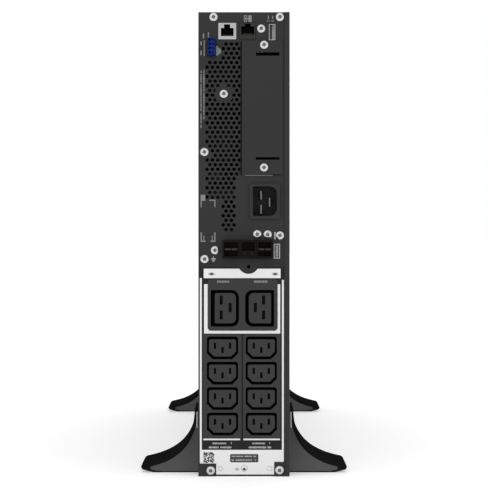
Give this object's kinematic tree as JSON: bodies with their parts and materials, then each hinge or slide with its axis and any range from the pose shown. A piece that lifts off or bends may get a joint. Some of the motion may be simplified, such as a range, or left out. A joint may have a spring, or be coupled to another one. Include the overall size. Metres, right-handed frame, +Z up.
{
  "type": "rackmount uninterruptible power supply",
  "caption": "Tall narrow UPS on stabiliser feet: rear panel with vent, card slot, jacks, power inlet and outlets; sliding battery cartridge, turning display.",
  "frame": {"origin": "on the floor, under the middle of the whole object's box", "axes": "+Z up, -Y out of the connector panel, +Y out of the bezel, +X to the right seen from the connector panel"},
  "size_m": [0.195, 0.636, 0.432],
  "materials": {
    "case_paint": "fine textured dark grey powder coat",
    "label_film": "printed polyester film, dark grey and white",
    "bare_steel": "zinc-plated sheet",
    "jack_shield": "tinned shield",
    "black_plastic": "glass-filled black moulding",
    "blue_plastic": "blue moulding",
    "plated_brass": "nickel-plated brass",
    "screw_plate": "bright zinc",
    "brass_hex": "turned brass",
    "circuit_board": "solder-masked board",
    "sink_aluminium": "extruded",
    "capacitor_sleeve": "shrunk sleeve",
    "copper_winding": "enamelled wire",
    "core_steel": "laminated core",
    "fan_plastic": "black moulding",
    "foot_plastic": "textured black moulding",
    "handle_plastic": "grey moulding",
    "battery_case": "grey-black case",
    "bezel_plastic": "textured black moulding",
    "display_plastic": "polished black",
    "screen_glass": "tinted window",
    "button_plastic": "grey moulding"
  },
  "bodies": {
    "chassis": {"base_wall": "case_paint", "top_wall": "case_paint", "bottom_wall": "case_paint", "side_cover": "case_paint", "rear_panel": "case_paint", "outlet_panel": "case_paint", "outlet_label": "label_film", "slot_cover": "case_paint", "card_cage": "bare_steel", "network_jack": "jack_shield", "serial_jack": "black_plastic", "usb_port": "jack_shield", "epo_header": "black_plastic", "ac_inlet": "black_plastic", "inlet_pins": "plated_brass", "battery_port": "black_plastic", "c13_outlets_left": "black_plastic", "c13_outlets_right": "black_plastic", "c19_outlets": "black_plastic", "outlet_contacts": "plated_brass", "rear_screws": "screw_plate", "front_panel": "case_paint", "bay_divider": "bare_steel", "power_board": "circuit_board", "board_standoffs": "brass_hex", "heat_sinks": "sink_aluminium", "bus_capacitors": "capacitor_sleeve", "inductors": "copper_winding", "transformer": "core_steel", "control_board": "circuit_board", "fan_frame_upper": "fan_plastic", "fan_frame_lower": "fan_plastic", "rear_left_foot": "foot_plastic", "rear_right_foot": "foot_plastic", "front_left_foot": "foot_plastic", "front_right_foot": "foot_plastic", "foot_screws": "screw_plate"},
    "upper_fan": {"fan_rotor_upper": "fan_plastic"},
    "lower_fan": {"fan_rotor_lower": "fan_plastic"},
    "terminal_plug": {"epo_plug": "blue_plastic"},
    "cartridge": {"battery_tray": "bare_steel", "battery_handle": "handle_plastic", "battery_plug": "handle_plastic", "battery_block_1": "battery_case", "battery_block_2": "battery_case", "battery_block_3": "battery_case", "battery_block_4": "battery_case", "battery_block_5": "battery_case", "battery_block_6": "battery_case", "battery_block_7": "battery_case", "battery_block_8": "battery_case"},
    "door": {"battery_door": "case_paint", "door_thumbscrews": "screw_plate"},
    "bezel": {"front_bezel": "bezel_plastic"},
    "display": {"display_housing": "display_plastic", "display_lens": "screen_glass"},
    "power_button": {"button_power": "button_plastic"},
    "up_button": {"button_up": "button_plastic"},
    "down_button": {"button_down": "button_plastic"},
    "enter_button": {"button_enter": "button_plastic"}
  },
  "joints": [
    {"name": "cartridge_slide", "type": "slide", "parent": "chassis", "child": "cartridge", "axis": [0, 1, 0], "range_m": [0, 0.38]},
    {"name": "door_slide", "type": "slide", "parent": "chassis", "child": "door", "axis": [0, 1, 0], "range_m": [0, 0.42]},
    {"name": "bezel_slide", "type": "slide", "parent": "chassis", "child": "bezel", "axis": [0, 1, 0], "range_m": [0, 0.46]},
    {"name": "display_turn", "type": "hinge", "parent": "chassis", "child": "display", "pos_m": [0, 0.31, 0.384], "axis": [0, 1, 0], "range_deg": [0, 90]},
    {"name": "upper_fan_spin", "type": "hinge", "parent": "chassis", "child": "upper_fan", "pos_m": [0, 0.23, 0.356], "axis": [0, 1, 0], "continuous": true},
    {"name": "lower_fan_spin", "type": "hinge", "parent": "chassis", "child": "lower_fan", "pos_m": [0, 0.23, 0.272], "axis": [0, 1, 0], "continuous": true},
    {"name": "terminal_pull", "type": "slide", "parent": "chassis", "child": "terminal_plug", "axis": [0, -1, 0], "range_m": [0, 0.014]},
    {"name": "power_press", "type": "slide", "parent": "display", "child": "power_button", "axis": [0, -1, 0], "range_m": [0, 0.0008], "stiffness_N_per_m": 500},
    {"name": "up_press", "type": "slide", "parent": "display", "child": "up_button", "axis": [0, -1, 0], "range_m": [0, 0.0008], "stiffness_N_per_m": 500},
    {"name": "down_press", "type": "slide", "parent": "display", "child": "down_button", "axis": [0, -1, 0], "range_m": [0, 0.0008], "stiffness_N_per_m": 500},
    {"name": "enter_press", "type": "slide", "parent": "display", "child": "enter_button", "axis": [0, -1, 0], "range_m": [0, 0.0008], "stiffness_N_per_m": 500}
  ],
  "couplings": [
    {"joint": "door_slide", "follows": "cartridge_slide", "ratio": 1.1},
    {"joint": "bezel_slide", "follows": "cartridge_slide", "ratio": 1.2}
  ]
}
